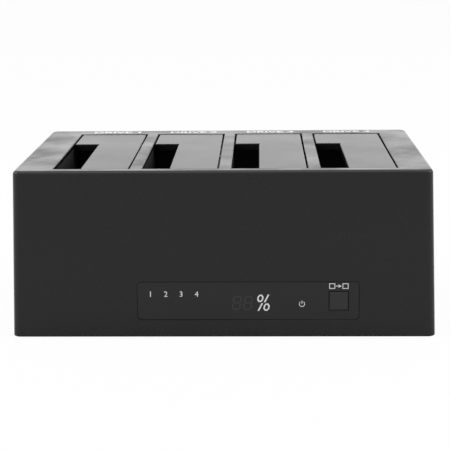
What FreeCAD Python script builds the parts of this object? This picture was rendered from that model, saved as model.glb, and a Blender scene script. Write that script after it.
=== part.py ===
"""A desktop drive duplicator: a four-bay docking station for bare disk drives.

Origin: middle of the footprint, on the surface that the feet stand on.
Axes: +X to the right seen from the front, +Y towards the rear, +Z up. Millimetres.

A moulded casing hangs four drive wells from its top. Each well carries an L-shaped flap on a steel pin
with a torsion spring, and stands over a drive connector on the main board. A second, thin board behind the
front panel carries the lamps, the number display and the switch of the copy button.
"""

import FreeCAD, Part
import math
import os

Vector = FreeCAD.Vector

# ---- Drives that the bays take --------------------------------------------------------------------------
drive_thickness = 26.1    # large drive
drive_width = 101.6
drive_play = 0.8
connector_offset = 3.5    # from a drive's flat side to the middle of its connector

# ---- Bays, which set the size of the casing -------------------------------------------------------------
bay_count = 4
bay_pitch = 42.9          # from one bay to the next
bay_width = 37.0          # opening in the top, across
drive_end_room = 7.5      # what the opening is longer than a large drive
slot_width = 13.4         # open corner of the flap, for the small drive
slot_rear = 33.5          # from the open corner to the rear edge of the opening
left_margin = 18.5        # from the outer bays to the sides
right_margin = 15.9
rear_margin = 14.0
opening_chamfer = 0.4

# ---- Casing ---------------------------------------------------------------------------------------------
total_height = 83.2
foot_height = 1.2         # what stands out under the base
wall = 2.4
side_draft = 2.0          # degrees, on the left and right sides
corner_radius = 3.6
top_edge_radius = 1.8
base_thickness = 2.4
base_gap = 0.25           # round the base cover
column_radius = 3.4       # screw columns in the corners
column_inset = 4.9        # from the inner side wall to a column's axis
column_depth_inset = 8.6  # from the inner front or rear wall to a column's axis
pilot_radius = 1.25
clearance_radius = 1.7
screw_head_radius = 2.8
screw_head_height = 1.6

# ---- Drive wells ----------------------------------------------------------------------------------------
well_wall = 1.3
well_front_wall = 1.2
well_floor = 1.6
well_recess = 1.5         # how far a well reaches under the rim, past the right edge of its opening
well_floor_z = 14.4       # where a drive comes to rest
well_rear_play = 0.4
shelf_drop = 8.0          # height of the slope under the folded flap
shelf_clearance = 2.0     # from the folded flap to the slope
left_guide = -0.3         # left wall, from the opening's edge
guide_rib = 1.5
front_guide_depth = 4.2   # ribs that set the large drive back from the front
guide_rib_height = 20.0
guide_rib_slope = 4.0
flange_thickness = 2.0
boss_radius = 3.0
boss_length = 8.0
flange_width = 16.0       # the rear flange of a well
lip_height = 1.5
lip_drop = 9.8            # from the top face down to the underside of the front lip
lip_gap = 0.2
lip_end_gap = 0.4         # from the lip to the front wall, and from its ledge to the well

# ---- Flaps and their hinges -----------------------------------------------------------------------------
flap_thickness = 2.0
flap_recess = 0.2         # below the top face
flap_gap = 0.85           # at the sides
flap_end_gap = 0.6        # at the front and rear
flap_chamfer = 0.35
flap_rib = 1.2
flap_rib_height = 1.6
flap_rib_end = 3.5        # where ribs stop short of the hinge axis
cross_rib_count = 2
stop_tab_length = 12.0
stop_tab_reach = 1.6      # past the flap's edge, under the rim
stop_tab_gap = 0.3
stop_tab_thickness = 1.9
stop_tab_root = 3.3
stop_tab_drop = 8.5       # from the hinge axis down to the foot of the tab's window in the well
pin_radius = 1.0
pin_fit = 0.05            # radial clearance of the flap's knuckles on the pin
ear_fit = 0.02            # radial clearance of the pin in the well's ears
knuckle_radius = 2.2
knuckle_length = 12.0
knuckle_gap = 0.3         # between a knuckle and its ear, along the pin
knuckle_side_gap = 0.5    # from a knuckle to the well's wall
knuckle_top_gap = 0.6     # from a knuckle to the underside of the top
ear_length = 3.5
ear_end_gap = 2.0         # from the opening's front and rear edges
pin_end_play = 0.5
pin_hole_end = 0.8        # what closes the hole of the rear ear
pin_entry = 0.3           # radial room where the pin goes in, through the front wall

# ---- Torsion springs, of square wire --------------------------------------------------------------------
spring_wire = 0.5
spring_clearance = 0.35   # inside the coil, round the pin
spring_turns = 2
spring_steps = 12         # flats in one turn
spring_pitch = 0.9
spring_leg = 9.0
spring_seat_gap = 0.1

# ---- Boards and connectors ------------------------------------------------------------------------------
standoff_height = 4.0
standoff_radius = 2.8
board_screw_y = (-38.0, 22.0)
board_thickness = 1.6
board_side_gap = 11.6     # from the inner side wall at the top of the casing
board_front_gap = 1.7     # from the inner front wall
board_rear_gap = 2.6      # from the inner rear wall
connector_length = 43.0
connector_thickness = 5.6
connector_height = 11.0
connector_front = 5.2     # from the bay's front edge
connector_clearance = 0.4
signal_contacts = 7
power_contacts = 15
contact_pitch = 1.27
contact_width = 0.7
contact_thickness = 0.2
contact_depth = 5.4
key_slot_width = 1.5
key_slot_depth = 6.2
key_slot_margin = 1.6     # past the first and last contact
key_foot = 1.3            # short leg of each L-shaped slot
slot_bridge = 2.1         # between the two slots

# ---- Front panel ----------------------------------------------------------------------------------------
panel_left = -41.7
panel_right = 65.8
panel_bottom = 9.7
panel_top = 28.9
panel_radius = 2.2
panel_thickness = 0.8
panel_gap = 0.25
panel_recess = 0.1        # how far the lens lies below the front face
front_board_thickness = 1.0
front_board_gap = 0.3
front_board_room = 1.4    # from the board to the wells behind it
front_board_margin = 1.5  # past the panel, all round
front_board_drop = 3.0    # how far its lower edge goes below the panel
stake_radius = 0.8
lamp_x = (-35.1, -27.7, -20.3, -12.8)
lamp_z = 16.8
lamp_window = 3.0
lamp_size = 1.6
lamp_height = 0.7
power_lamp_x = 38.1
power_lamp_z = 17.7
display_left = 1.1
display_right = 25.6
display_bottom = 12.2
display_top = 24.4
window_gap = 0.2
button_x = 55.8
button_z = 19.2
button_size = 9.0
button_gap = 0.3
button_proud = 0.4
button_flange = 0.8       # how far the flange stands out behind the lens
button_flange_thickness = 0.6
button_travel = 0.25
switch_size = 4.6
switch_height = 0.85
plunger_radius = 1.2
plunger_play = 0.1
link_pins = 6
link_pitch = 2.0
link_bar = 2.2

# ---- Rear connectors ------------------------------------------------------------------------------------
cutout_gap = 0.4
usb_width = 10.2
usb_upper_width = 7.2
usb_lower_height = 7.8
usb_height = 11.0
usb_depth = 17.5
usb_shell = 0.5
usb_mouth_depth = 9.0
usb_recess = 0.3          # how far the sockets lie inside the rear face
jack_width = 9.0
jack_height = 11.0
jack_depth = 14.0
jack_bore_radius = 3.1
jack_bore_depth = 9.5
jack_axis_height = 6.4
jack_pin_radius = 1.0
jack_pin_root_radius = 1.3
jack_pin_length = 8.0
jack_root_step = 0.3
jack_root_fit = 0.02
push_body = 8.4
push_body_depth = 11.0
push_body_inset = 8.0     # from the inner rear wall to the switch
push_cap_radius = 3.2
push_cap_length = 9.8
push_cap_proud = 2.5
push_stem = 3.0
push_travel = 1.8
push_axis_height = 6.0

# ---- Feet and vents -------------------------------------------------------------------------------------
foot_radius = 6.0
foot_inset_x = 24.0
foot_inset_y = 14.0
foot_taper = 0.4
vent_rows = 2
vents_per_row = 9
vent_width = 2.4
vent_length = 26.0
vent_pitch = 6.4
vent_row_spacing = 46.0

# ---- Derived places -------------------------------------------------------------------------------------
top_z = total_height
base_z = foot_height
bay_length = drive_width + drive_end_room
slot_length = bay_length - slot_rear
front_margin = wall + front_board_gap + front_board_thickness + front_board_room + well_front_wall
lip_depth = front_margin - wall - well_front_wall - lip_end_gap
body_width = (bay_count - 1) * bay_pitch + bay_width + left_margin + right_margin
body_depth = front_margin + bay_length + rear_margin
front_y = -body_depth / 2
rear_y = body_depth / 2
inner_front_y = front_y + wall
inner_rear_y = rear_y - wall
inner_top_z = top_z - wall
bay_front_y = front_y + front_margin
draft_slope = math.tan(math.radians(side_draft))

flap_top_z = top_z - flap_recess
flap_under_z = flap_top_z - flap_thickness
hinge_u = bay_width + well_recess - knuckle_radius - knuckle_side_gap
hinge_z = inner_top_z - knuckle_top_gap - knuckle_radius
narrow_right = left_guide + drive_thickness + drive_play
flap_reach = hinge_u - flap_gap + stop_tab_reach
shelf_top_z = hinge_z - flap_reach - shelf_clearance
shelf_bottom_z = shelf_top_z - shelf_drop
well_rear = bay_length + well_rear_play
boss_y = (bay_front_y + well_rear + well_wall + inner_rear_y) / 2
boss_end_z = inner_top_z - boss_length

ear_starts = (ear_end_gap, bay_length - ear_end_gap - ear_length)
spring_radius = pin_radius + spring_clearance + spring_wire / 2
spring_start = bay_length / 2
tab_start = (slot_length + bay_length - flap_end_gap) / 2 + flap_rib + 1

board_z = base_z + base_thickness + standoff_height
board_top_z = board_z + board_thickness
board_half_width = body_width / 2 - wall - board_side_gap
board_front_y = inner_front_y + board_front_gap
board_rear_y = inner_rear_y - board_rear_gap
connector_top_z = board_top_z + connector_height
connector_u = left_guide + drive_play / 2 + connector_offset
connector_floor_slot = connector_thickness / 2 + connector_clearance

lens_front_y = front_y + panel_recess
lens_back_y = lens_front_y + panel_thickness
front_board_y = inner_front_y + front_board_gap
front_board_back_y = front_board_y + front_board_thickness
socket_face_y = rear_y - usb_recess

column_y = (inner_front_y + column_depth_inset, inner_rear_y - column_depth_inset)
column_x = body_width / 2 - wall - column_inset


def half_width(z):
    """Half the casing's width at height z, on its sloping sides."""
    return body_width / 2 + (top_z - z) * draft_slope


def bay_left(bay):
    """Left edge of a bay's opening."""
    return left_margin - body_width / 2 + bay * bay_pitch


def gap_x(bay):
    """Middle of the free space between the narrow parts of two neighbouring wells."""
    return bay_left(bay) + (narrow_right + well_wall + bay_pitch + left_guide - well_wall) / 2


# ---- Plain shapes ---------------------------------------------------------------------------------------
def block(x0, x1, y0, y1, z0, z1):
    return Part.makeBox(x1 - x0, y1 - y0, z1 - z0, Vector(x0, y0, z0))


def rod(radius, x, y, z, axis, length):
    return Part.makeCylinder(radius, length, Vector(x, y, z), Vector(*axis))


def small_rod(radius, x, y, z, axis, length):
    """A rod or hole too small to show that it has twelve flats."""
    ring = [Vector(radius * math.cos(n * math.pi / 6), radius * math.sin(n * math.pi / 6), 0) for n in range(12)]
    solid = Part.Face(Part.makePolygon(ring + ring[:1])).extrude(Vector(0, 0, length))
    solid.Placement = FreeCAD.Placement(Vector(x, y, z), FreeCAD.Rotation(Vector(0, 0, 1), Vector(*axis)))
    return solid


def prism_xz(points, y0, y1):
    """A solid with an outline in the XZ plane."""
    corners = [Vector(x, y0, z) for x, z in points]
    face = Part.Face(Part.makePolygon(corners + corners[:1]))
    return face.extrude(Vector(0, y1 - y0, 0))


def prism_xy(points, z0, z1):
    """A solid with an outline in the XY plane."""
    corners = [Vector(x, y, z0) for x, y in points]
    face = Part.Face(Part.makePolygon(corners + corners[:1]))
    return face.extrude(Vector(0, 0, z1 - z0))


def prism_yz(points, x0, x1):
    """A solid with an outline in the YZ plane."""
    corners = [Vector(x0, y, z) for y, z in points]
    face = Part.Face(Part.makePolygon(corners + corners[:1]))
    return face.extrude(Vector(x1 - x0, 0, 0))


def fused(shapes):
    return shapes[0].multiFuse(shapes[1:]).removeSplitter()


def cut(shape, tools):
    return shape.cut(Part.makeCompound(tools)).removeSplitter()


def edges_along(shape, axis):
    """The straight edges that run along an axis, given as 0, 1 or 2."""
    found = []
    for edge in shape.Edges:
        if isinstance(edge.Curve, Part.Line):
            way = edge.tangentAt(edge.FirstParameter)
            if abs(abs(way[axis]) - 1) < 1e-6:
                found.append(edge)
    return found


def rounded_plate(x0, x1, y0, y1, z0, z1, radius, axis):
    """A block with the four edges along one axis rounded."""
    plate = block(x0, x1, y0, y1, z0, z1)
    return plate.makeFillet(radius, edges_along(plate, axis))


def casing_block(inset, z0, z1, radius):
    """A solid with the casing's sloping sides, set in from its outer faces by inset."""
    low, high = half_width(z0) - inset, half_width(z1) - inset
    outline = [(-low, z0), (low, z0), (high, z1), (-high, z1)]
    body = prism_xz(outline, front_y + inset, rear_y - inset)
    corners = [e for e in body.Edges if abs(e.Vertexes[0].Z - e.Vertexes[1].Z) > (z1 - z0) / 2]
    return body.makeFillet(radius, corners)


def in_bay(shape, bay):
    """Moves a shape from a bay's own corner, the front left of its opening, to its place."""
    placed = shape.copy()
    placed.translate(Vector(bay_left(bay), bay_front_y, 0))
    return placed


# ---- Casing ---------------------------------------------------------------------------------------------
def bay_opening(bay):
    """The cut for one bay in the top, with its chamfered edge."""
    left = bay_left(bay)
    right = left + bay_width
    rear = bay_front_y + bay_length
    hole = block(left, right, bay_front_y, rear, inner_top_z - 1, top_z + 1)
    c = opening_chamfer
    low = Part.makePolygon([Vector(x, y, top_z - c) for x, y in (
        (left, bay_front_y), (right, bay_front_y), (right, rear), (left, rear), (left, bay_front_y))])
    high = Part.makePolygon([Vector(x, y, top_z) for x, y in (
        (left - c, bay_front_y - c), (right + c, bay_front_y - c), (right + c, rear + c),
        (left - c, rear + c), (left - c, bay_front_y - c))])
    return hole.fuse(Part.makeLoft([low, high], True, True))


def panel_windows():
    """Cuts behind the lens for the lamps, the display and the copy button."""
    y0, y1 = front_y - 1, inner_front_y + 1
    half = lamp_window / 2 + window_gap
    cuts = [block(lamp_x[0] - half, lamp_x[-1] + half, y0, y1, lamp_z - half, lamp_z + half)]
    cuts.append(rod(lamp_window / 2, power_lamp_x, y0, power_lamp_z, (0, 1, 0), y1 - y0))
    cuts.append(block(display_left - window_gap, display_right + window_gap, y0, y1,
                      display_bottom - window_gap, display_top + window_gap))
    half = button_size / 2 + button_flange + button_gap
    cuts.append(block(button_x - half, button_x + half, y0, y1, button_z - half, button_z + half))
    return cuts


def rear_cutouts():
    """Cuts in the rear wall for the socket, the power jack and the power button."""
    y0, y1 = inner_rear_y - 1, rear_y + 1
    usb = prism_xz(usb_outline(usb_x, cutout_gap), y0, y1)
    half = jack_width / 2 + cutout_gap
    jack = block(jack_x - half, jack_x + half, y0, y1,
                 board_top_z - cutout_gap, board_top_z + jack_height + cutout_gap)
    push = rod(push_cap_radius + cutout_gap, push_x, y0, board_top_z + push_axis_height, (0, 1, 0), y1 - y0)
    return [usb, jack, push]


def outer_housing():
    shell = casing_block(0, base_z, top_z, corner_radius)
    rim = [e for e in shell.Edges if all(abs(v.Z - top_z) < 1e-6 for v in e.Vertexes)]
    shell = shell.makeFillet(top_edge_radius, rim)
    shell = shell.cut(casing_block(wall, base_z - 1, inner_top_z, corner_radius - wall))
    inside = []
    for x in (-column_x, column_x):
        for y in column_y:
            inside.append(small_rod(column_radius, x, y, base_z + base_thickness, (0, 0, 1),
                                    inner_top_z - base_z - base_thickness + wall / 2))
    for bay in range(bay_count):
        left = bay_left(bay)
        inside.append(small_rod(boss_radius, left + bay_width / 2, boss_y, boss_end_z, (0, 0, 1),
                                boss_length + wall / 2))
        ledge_top = top_z - lip_drop - lip_gap
        ledge = [(inner_front_y - wall / 2, ledge_top - lip_height - lip_depth),
                 (inner_front_y, ledge_top - lip_height - lip_depth),
                 (inner_front_y + lip_depth, ledge_top - lip_height),
                 (inner_front_y + lip_depth, ledge_top), (inner_front_y - wall / 2, ledge_top)]
        inside.append(prism_yz(ledge, left + bay_width * 0.2, left + bay_width * 0.8))
    for x, z in stake_places():
        inside.append(small_rod(stake_radius, x, inner_front_y - wall / 2, z, (0, 1, 0),
                                wall / 2 + front_board_gap + front_board_thickness + 0.2))
    shell = shell.multiFuse(inside)
    holes = [bay_opening(bay) for bay in range(bay_count)]
    holes += [small_rod(pilot_radius, x, y, base_z, (0, 0, 1), 14) for x in (-column_x, column_x) for y in column_y]
    holes += [small_rod(pilot_radius, bay_left(bay) + bay_width / 2, boss_y, boss_end_z - 1, (0, 0, 1), boss_length)
              for bay in range(bay_count)]
    holes.append(rounded_plate(panel_left, panel_right, front_y - 1, lens_back_y,
                               panel_bottom, panel_top, panel_radius, 1))
    return cut(shell, holes + panel_windows() + rear_cutouts())


def stake_places():
    """Pins that hold the front board, as (x, z)."""
    low = panel_bottom - front_board_margin
    return ((panel_left + 2, low), ((lamp_x[-1] + display_left) / 2, panel_top), (panel_right - 2, low))


def board_screw_places():
    """Where the main board is screwed down, in the free spaces between the wells."""
    return [(gap_x(bay), y) for bay in (0, 2) for y in board_screw_y]


def foot_places():
    x, y = body_width / 2 - foot_inset_x, body_depth / 2 - foot_inset_y
    return [(sx * x, sy * y) for sx in (-1, 1) for sy in (-1, 1)]


def base_cover():
    plate = casing_block(wall + base_gap, base_z, base_z + base_thickness, corner_radius - wall)
    posts = [small_rod(standoff_radius, x, y, base_z + base_thickness / 2, (0, 0, 1),
                       standoff_height + base_thickness / 2) for x, y in board_screw_places()]
    cover = plate.multiFuse(posts)
    cuts = [small_rod(pilot_radius, x, y, base_z + 1, (0, 0, 1), base_thickness + standoff_height)
            for x, y in board_screw_places()]
    for x in (-column_x, column_x):
        for y in column_y:
            cuts.append(small_rod(clearance_radius, x, y, base_z - 1, (0, 0, 1), base_thickness + 2))
            cuts.append(small_rod(screw_head_radius + 0.2, x, y, base_z - 1, (0, 0, 1), 1 + screw_head_height))
    for row in range(vent_rows):
        y = (row - (vent_rows - 1) / 2) * vent_row_spacing
        for n in range(vents_per_row):
            x = (n - (vents_per_row - 1) / 2) * vent_pitch
            cuts.append(block(x - vent_width / 2, x + vent_width / 2, y - vent_length / 2,
                              y + vent_length / 2, base_z - 1, base_z + base_thickness + 1))
    return cut(cover, cuts)


def rubber_feet():
    return Part.makeCompound([Part.makeCone(foot_radius - foot_taper, foot_radius, base_z, Vector(x, y, 0))
                              for x, y in foot_places()])


# ---- Drive wells, in a bay's own frame ------------------------------------------------------------------
def drive_well():
    top = inner_top_z
    t = well_wall
    right = bay_width + well_recess
    inner = [(left_guide, well_floor_z), (narrow_right, well_floor_z), (narrow_right, shelf_bottom_z),
             (right, shelf_top_z), (right, top + 1), (left_guide, top + 1)]
    slope = t * 0.55
    outer = [(left_guide - t, well_floor_z - well_floor), (narrow_right + t, well_floor_z - well_floor),
             (narrow_right + t, shelf_bottom_z - slope), (right + t, shelf_top_z - slope), (right + t, top),
             (left_guide - t, top)]
    well = prism_xz(outer, -well_front_wall, well_rear + t)
    well = well.cut(prism_xz(inner, 0, well_rear))
    added = [hinge_ear(start) for start in ear_starts] + guide_ribs() + [spring_pad(), well_flange(), front_lip()]
    well = well.multiFuse(added)
    cuts = [small_rod(pin_radius + pin_entry, hinge_u, -well_front_wall - 1, hinge_z, (0, 1, 0),
                      well_front_wall + 2)]
    for start, end in ((ear_starts[0], ear_starts[0] + ear_length),
                       (ear_starts[1], ear_starts[1] + ear_length - pin_hole_end)):
        cuts.append(rod(pin_radius + ear_fit, hinge_u, start - 1, hinge_z, (0, 1, 0), end - start + 1))
    gap = connector_clearance
    cuts.append(block(connector_u - connector_floor_slot, connector_u + connector_floor_slot,
                      connector_front - gap, connector_front + connector_length + gap,
                      well_floor_z - well_floor - 1, well_floor_z + 1))
    cuts.append(small_rod(clearance_radius, bay_width / 2, boss_y - bay_front_y, boss_end_z - flange_thickness - 1,
                          (0, 0, 1), flange_thickness + 2))
    v = tab_start - stop_tab_gap
    cuts.append(block(left_guide - t - 1, left_guide + 1, v, v + stop_tab_length + 2 * stop_tab_gap,
                      hinge_z - stop_tab_drop, top + 1))
    return cut(well, cuts)


def hinge_ear(start):
    """A bearing for the pin, standing out from the right wall, with the corners near the flap cut off."""
    near, far = hinge_u - knuckle_radius, bay_width + well_recess + well_wall / 2
    low, high = hinge_z - knuckle_radius, hinge_z + knuckle_radius
    return prism_xz([(near, low + 1), (near + 1, low), (far, low), (far, high), (near + 1, high), (near, high - 1)],
                    start, start + ear_length)


def guide_ribs():
    """Ribs with sloping tops that centre the large drive from front to rear."""
    ribs = []
    rear_depth = well_rear - front_guide_depth - drive_width - drive_play
    high = well_floor_z + guide_rib_height
    for u in (slot_width + guide_rib, narrow_right - 2 * guide_rib):
        front = [(-well_front_wall / 2, well_floor_z - 0.1), (front_guide_depth, well_floor_z - 0.1),
                 (front_guide_depth, high - guide_rib_slope), (0, high), (-well_front_wall / 2, high)]
        rear = [(well_rear + well_wall / 2, well_floor_z - 0.1), (well_rear - rear_depth, well_floor_z - 0.1),
                (well_rear - rear_depth, high - guide_rib_slope), (well_rear, high),
                (well_rear + well_wall / 2, high)]
        ribs += [prism_yz(front, u, u + guide_rib), prism_yz(rear, u, u + guide_rib)]
    return ribs


def spring_pad():
    """Where the spring's fixed leg bears on the right wall."""
    face = hinge_u + spring_radius + spring_wire / 2 + spring_seat_gap
    length = spring_turns * spring_pitch + 3 * spring_wire
    return block(face, bay_width + well_recess + well_wall / 2, spring_start - spring_wire / 2,
                 spring_start + length, hinge_z - spring_leg - 1, hinge_z - knuckle_radius)


def well_flange():
    """The rear flange that is screwed to a boss under the top, with its two gussets."""
    v0, v1 = well_rear + well_wall / 2, boss_y - bay_front_y + boss_radius + 0.4
    low, high = boss_end_z - flange_thickness, boss_end_z
    middle = bay_width / 2
    half = flange_width / 2
    flange = block(middle - half, middle + half, v0, v1, low, high)
    gusset = [(v0, low - 6), (v1 - 2, low + 0.1), (v0, low + 0.1)]
    return fused([flange] + [prism_yz(gusset, u - well_wall / 2, u + well_wall / 2)
                             for u in (middle - half + well_wall / 2, middle + half - well_wall / 2)])


def front_lip():
    """The lip that sits on the casing's ledge and holds the front of the well up."""
    low = top_z - lip_drop
    return block(bay_width * 0.25, bay_width * 0.75, -well_front_wall - lip_depth, -well_front_wall / 2,
                 low, low + lip_height)


# ---- Flap, in a bay's own frame -------------------------------------------------------------------------
def bay_flap():
    left, right = flap_gap, bay_width - flap_gap
    front, rear = flap_end_gap, bay_length - flap_end_gap
    outline = [(slot_width, front), (right, front), (right, rear), (left, rear),
               (left, slot_length), (slot_width, slot_length)]
    plate = prism_xy(outline, flap_under_z, flap_top_z)
    rim = [e for e in plate.Edges if all(abs(v.Z - flap_top_z) < 1e-6 for v in e.Vertexes)]
    plate = plate.makeChamfer(flap_chamfer, rim)
    low, high = flap_under_z - flap_rib_height, flap_under_z + flap_thickness / 2
    end = hinge_u - flap_rib_end
    t = flap_rib
    parts = [
        block(slot_width, end, front, front + t, low, high),
        block(slot_width, slot_width + t, front, slot_length + t, low, high),
        block(left, slot_width + t, slot_length, slot_length + t, low, high),
        block(left, left + t, slot_length, rear, low, high),
        block(left, end, rear - t, rear, low, high)]
    clear = slot_length / (cross_rib_count + 1)
    for n in range(cross_rib_count):
        v = clear * (n + 1)
        parts.append(block(slot_width, end, v, v + t, low, high))
    parts.append(block(left, end, (slot_length + rear) / 2, (slot_length + rear) / 2 + t, low, high))
    parts += [stop_tab(left), spring_seat()]
    starts = (ear_starts[0] + ear_length + knuckle_gap, ear_starts[1] - knuckle_gap - knuckle_length)
    for start in starts:
        parts.append(small_rod(knuckle_radius, hinge_u, start, hinge_z, (0, 1, 0), knuckle_length))
        web = hinge_u - knuckle_radius
        parts.append(block(web, right, start, start + knuckle_length, hinge_z, high))
    flap = plate.multiFuse(parts)
    bores = [rod(pin_radius + pin_fit, hinge_u, start - 1, hinge_z, (0, 1, 0), knuckle_length + 2)
             for start in starts]
    return cut(flap, bores)


def stop_tab(left):
    """A tab that reaches under the rim and stops the flap level with the top."""
    v = tab_start
    top = inner_top_z - stop_tab_gap
    low = top - stop_tab_thickness
    root = block(left, left + stop_tab_root, v, v + stop_tab_length, low, flap_under_z + flap_thickness / 2)
    reach = block(left - stop_tab_reach, left + stop_tab_root, v, v + stop_tab_length, low, top)
    return root.fuse(reach)


def spring_seat():
    """The rib that the spring's moving leg pushes up against."""
    top_of_leg = hinge_z + spring_radius + spring_wire / 2 + spring_seat_gap
    v = spring_start + spring_wire / 2
    return block(hinge_u - spring_leg, hinge_u - flap_rib_end, v - 1, v + 1,
                 top_of_leg, flap_under_z + flap_thickness / 2)


def hinge_pin():
    length = ear_starts[1] + ear_length - pin_hole_end - 2 * pin_end_play
    return rod(pin_radius, hinge_u, pin_end_play, hinge_z, (0, 1, 0), length)


def flap_spring():
    """A coil round the pin. One leg lies on the wall pad, the other under the flap's rib."""
    half = spring_wire / 2
    steps = int((spring_turns + 0.25) * spring_steps)
    first = spring_start + half + spring_pitch * steps / spring_steps
    sections = []
    for n in range(steps + 1):
        turn = 2 * math.pi * n / spring_steps
        y = first - spring_pitch * n / spring_steps
        corners = [Vector(hinge_u + r * math.cos(turn), y + d, hinge_z + r * math.sin(turn)) for r, d in (
            (spring_radius - half, -half), (spring_radius + half, -half),
            (spring_radius + half, half), (spring_radius - half, half))]
        sections.append(Part.makePolygon(corners + corners[:1]))
    coil = Part.makeLoft(sections, True, True)
    last = spring_start + half
    fixed_leg = block(hinge_u + spring_radius - half, hinge_u + spring_radius + half,
                      first - half, first + half, hinge_z - spring_leg, hinge_z + half / 4)
    moving_leg = block(hinge_u - spring_leg, hinge_u + half / 4, last - half, last + half,
                       hinge_z + spring_radius - half, hinge_z + spring_radius + half)
    return coil.fuse([fixed_leg, moving_leg])


# ---- Main board and what is on it -----------------------------------------------------------------------
def main_circuit_board():
    board = block(-board_half_width, board_half_width, board_front_y, board_rear_y, board_z, board_top_z)
    return cut(board, [small_rod(clearance_radius, x, y, board_z - 1, (0, 0, 1), board_thickness + 2)
                       for x, y in board_screw_places()])


def slot_starts():
    """Where the two slots of a drive connector start, and their lengths, from the bay's front edge."""
    signal = (signal_contacts - 1) * contact_pitch + 2 * key_slot_margin
    power = (power_contacts - 1) * contact_pitch + 2 * key_slot_margin
    start = connector_front + (connector_length - signal - power - slot_bridge) / 2
    return [(start, power, power_contacts), (start + power + slot_bridge, signal, signal_contacts)]


def sata_connector():
    """A socket with two L-shaped slots, standing on the main board under its well."""
    u = connector_u
    body = block(u - connector_thickness / 2, u + connector_thickness / 2, connector_front,
                 connector_front + connector_length, board_top_z, connector_top_z)
    ends = [e for e in edges_along(body, 0) if e.Vertexes[0].Z > board_top_z + 1]
    body = body.makeChamfer(1.0, ends)
    low = connector_top_z - key_slot_depth
    cuts = []
    for start, length, _ in slot_starts():
        cuts.append(block(u - key_slot_width / 2, u + key_slot_width / 2, start, start + length,
                          low, connector_top_z + 1))
        cuts.append(block(u - key_slot_width / 2 - key_foot, u, start, start + key_foot,
                          low, connector_top_z + 1))
    return cut(body, cuts)


def sata_contacts():
    """The spring contacts along one side of every connector slot."""
    contacts = []
    low = connector_top_z - key_slot_depth
    wall_u = connector_u + key_slot_width / 2
    for start, _, count in slot_starts():
        for n in range(count):
            v = start + key_slot_margin + n * contact_pitch
            contacts.append(block(wall_u - contact_thickness, wall_u, v - contact_width / 2,
                                  v + contact_width / 2, low, low + contact_depth))
    return Part.makeCompound([in_bay(c, bay) for bay in range(bay_count) for c in contacts])


def control_chips():
    """The copier's processor, two drive bridges, a memory chip and a voltage regulator."""
    sizes = ((gap_x(1), -8.0, 11.0, 11.0, 1.4), (gap_x(1), -28.0, 9.0, 9.0, 1.2), (gap_x(1), 12.0, 9.0, 9.0, 1.2),
             (gap_x(1), 24.5, 5.0, 6.0, 1.6), (gap_x(2), -6.0, 6.5, 6.0, 1.8))
    return Part.makeCompound([block(x - w / 2, x + w / 2, y - d / 2, y + d / 2, board_top_z, board_top_z + h)
                              for x, y, w, d, h in sizes])


def power_coils():
    """Two shielded coils of the power supply."""
    size, height = 7.0, 4.0
    coils = []
    for y in (6.0, 34.0):
        coil = block(gap_x(2) - size / 2, gap_x(2) + size / 2, y - size / 2, y + size / 2,
                     board_top_z, board_top_z + height)
        coils.append(coil.makeChamfer(1.0, edges_along(coil, 2)))
    return Part.makeCompound(coils)


def capacitors():
    """Round cans on the right of the board, outside the last well."""
    radius, height = 3.0, 8.0
    x = (bay_left(bay_count - 1) + narrow_right + well_wall + board_half_width) / 2
    return Part.makeCompound([small_rod(radius, x, y, board_top_z, (0, 0, 1), height) for y in (-18.0, 0.0, 18.0)])


# ---- Rear sockets ---------------------------------------------------------------------------------------
usb_x = gap_x(1)
jack_x = gap_x(2)
push_x = gap_x(0)


def usb_outline(x, grow=0.0):
    """The outline of the data socket: a wide lower part and a narrower upper part."""
    wide, narrow = usb_width / 2 + grow, usb_upper_width / 2 + grow
    low, step, high = board_top_z - grow, board_top_z + usb_lower_height + grow, board_top_z + usb_height + grow
    return [(x - wide, low), (x + wide, low), (x + wide, step - 1.2), (x + narrow, step),
            (x + narrow, high), (x - narrow, high), (x - narrow, step), (x - wide, step - 1.2)]


def usb_socket_shell():
    y0 = socket_face_y - usb_depth
    shell = prism_xz(usb_outline(usb_x), y0, socket_face_y)
    return shell.cut(prism_xz(usb_outline(usb_x, -usb_shell), y0 - 1, socket_face_y + 1))


def usb_socket_core():
    """The insulator that fills the rear of the shell, with its two tongues."""
    y0 = socket_face_y - usb_depth
    mouth = socket_face_y - usb_mouth_depth
    core = prism_xz(usb_outline(usb_x, -usb_shell), y0, mouth)
    low = board_top_z + 2.3
    lower = block(usb_x - 2.8, usb_x + 2.8, mouth - 1, socket_face_y - 1.2, low, low + 3.0)
    upper = block(usb_x - 2.4, usb_x + 2.4, mouth - 1, socket_face_y - 1.8, low + 5.3, low + 6.3)
    return fused([core, lower, upper])


def power_jack_housing():
    y0 = socket_face_y - jack_depth
    body = block(jack_x - jack_width / 2, jack_x + jack_width / 2, y0, socket_face_y,
                 board_top_z, board_top_z + jack_height)
    upper = [e for e in edges_along(body, 1) if e.Vertexes[0].Z > board_top_z + 1]
    body = body.makeChamfer(1.5, upper)
    axis_z = board_top_z + jack_axis_height
    bore = rod(jack_bore_radius, jack_x, socket_face_y - jack_bore_depth, axis_z, (0, 1, 0), jack_bore_depth + 1)
    seat = rod(jack_pin_root_radius + jack_root_fit, jack_x, y0 + 1.9, axis_z, (0, 1, 0), jack_depth)
    return cut(body, [bore, seat])


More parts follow.
